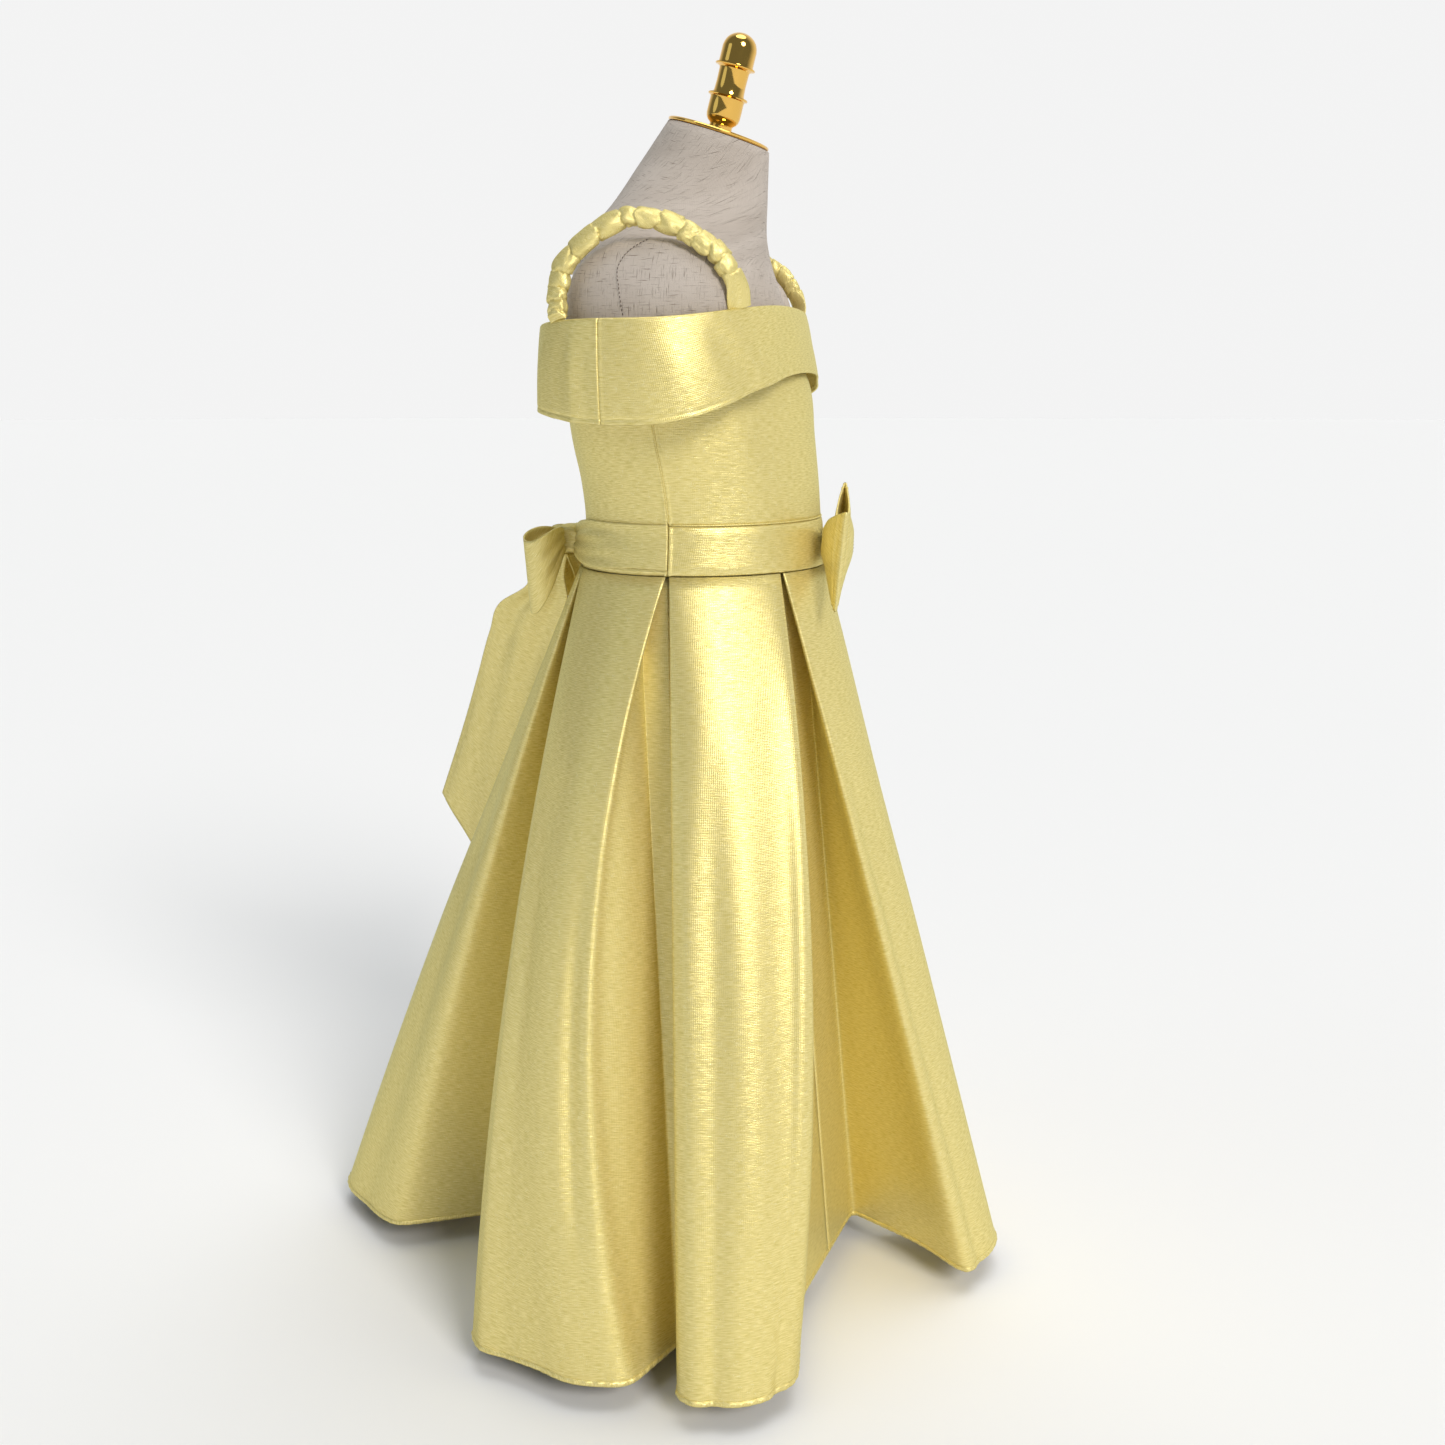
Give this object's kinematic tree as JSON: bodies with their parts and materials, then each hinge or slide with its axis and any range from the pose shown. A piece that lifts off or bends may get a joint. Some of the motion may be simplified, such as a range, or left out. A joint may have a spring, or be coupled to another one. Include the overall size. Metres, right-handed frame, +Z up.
{
  "type": "child's party dress on a limbless dress form",
  "caption": "Full-length satin party dress with a folded off-shoulder collar, ruched straps, box-pleated skirt and bows, worn by a linen dress form on a stand.",
  "frame": {"origin": "centre of the base plate's underside, on the pole's axis", "axes": "+Z up, -Y to the front of the dress, -X to the wearer's right"},
  "size_m": [0.4403, 0.5103, 0.871],
  "materials": {
    "satin": "pale yellow shimmer satin with a fine crosshatch weave",
    "linen": "greige slubbed linen stretched over the form",
    "gold": "polished gold plating",
    "stones": "silver setting with small clear stones",
    "steel": "brushed steel"
  },
  "bodies": {
    "root": {"form_torso": "linen", "neck_plate": "gold", "finial": "gold", "pole": "steel", "base_plate": "steel", "bodice_front": "satin", "bodice_back_right": "satin", "bodice_back_left": "satin", "waistband_front": "satin", "sash_right": "satin", "sash_left": "satin", "collar_front": "satin", "collar_back_right": "satin", "collar_back_left": "satin", "strap_right": "satin", "strap_left": "satin", "back_bow_knot": "satin", "back_bow_loop_right": "satin", "back_bow_loop_left": "satin", "back_tail_left": "satin", "back_tail_right": "satin", "front_bow_wing_right": "satin", "front_bow_wing_left": "satin", "front_bow_band": "stones", "skirt_front": "satin", "skirt_right_front": "satin", "skirt_right_back": "satin", "skirt_back_right": "satin", "skirt_back_left": "satin", "skirt_left_back": "satin", "skirt_left_front": "satin"}
  },
  "joints": []
}
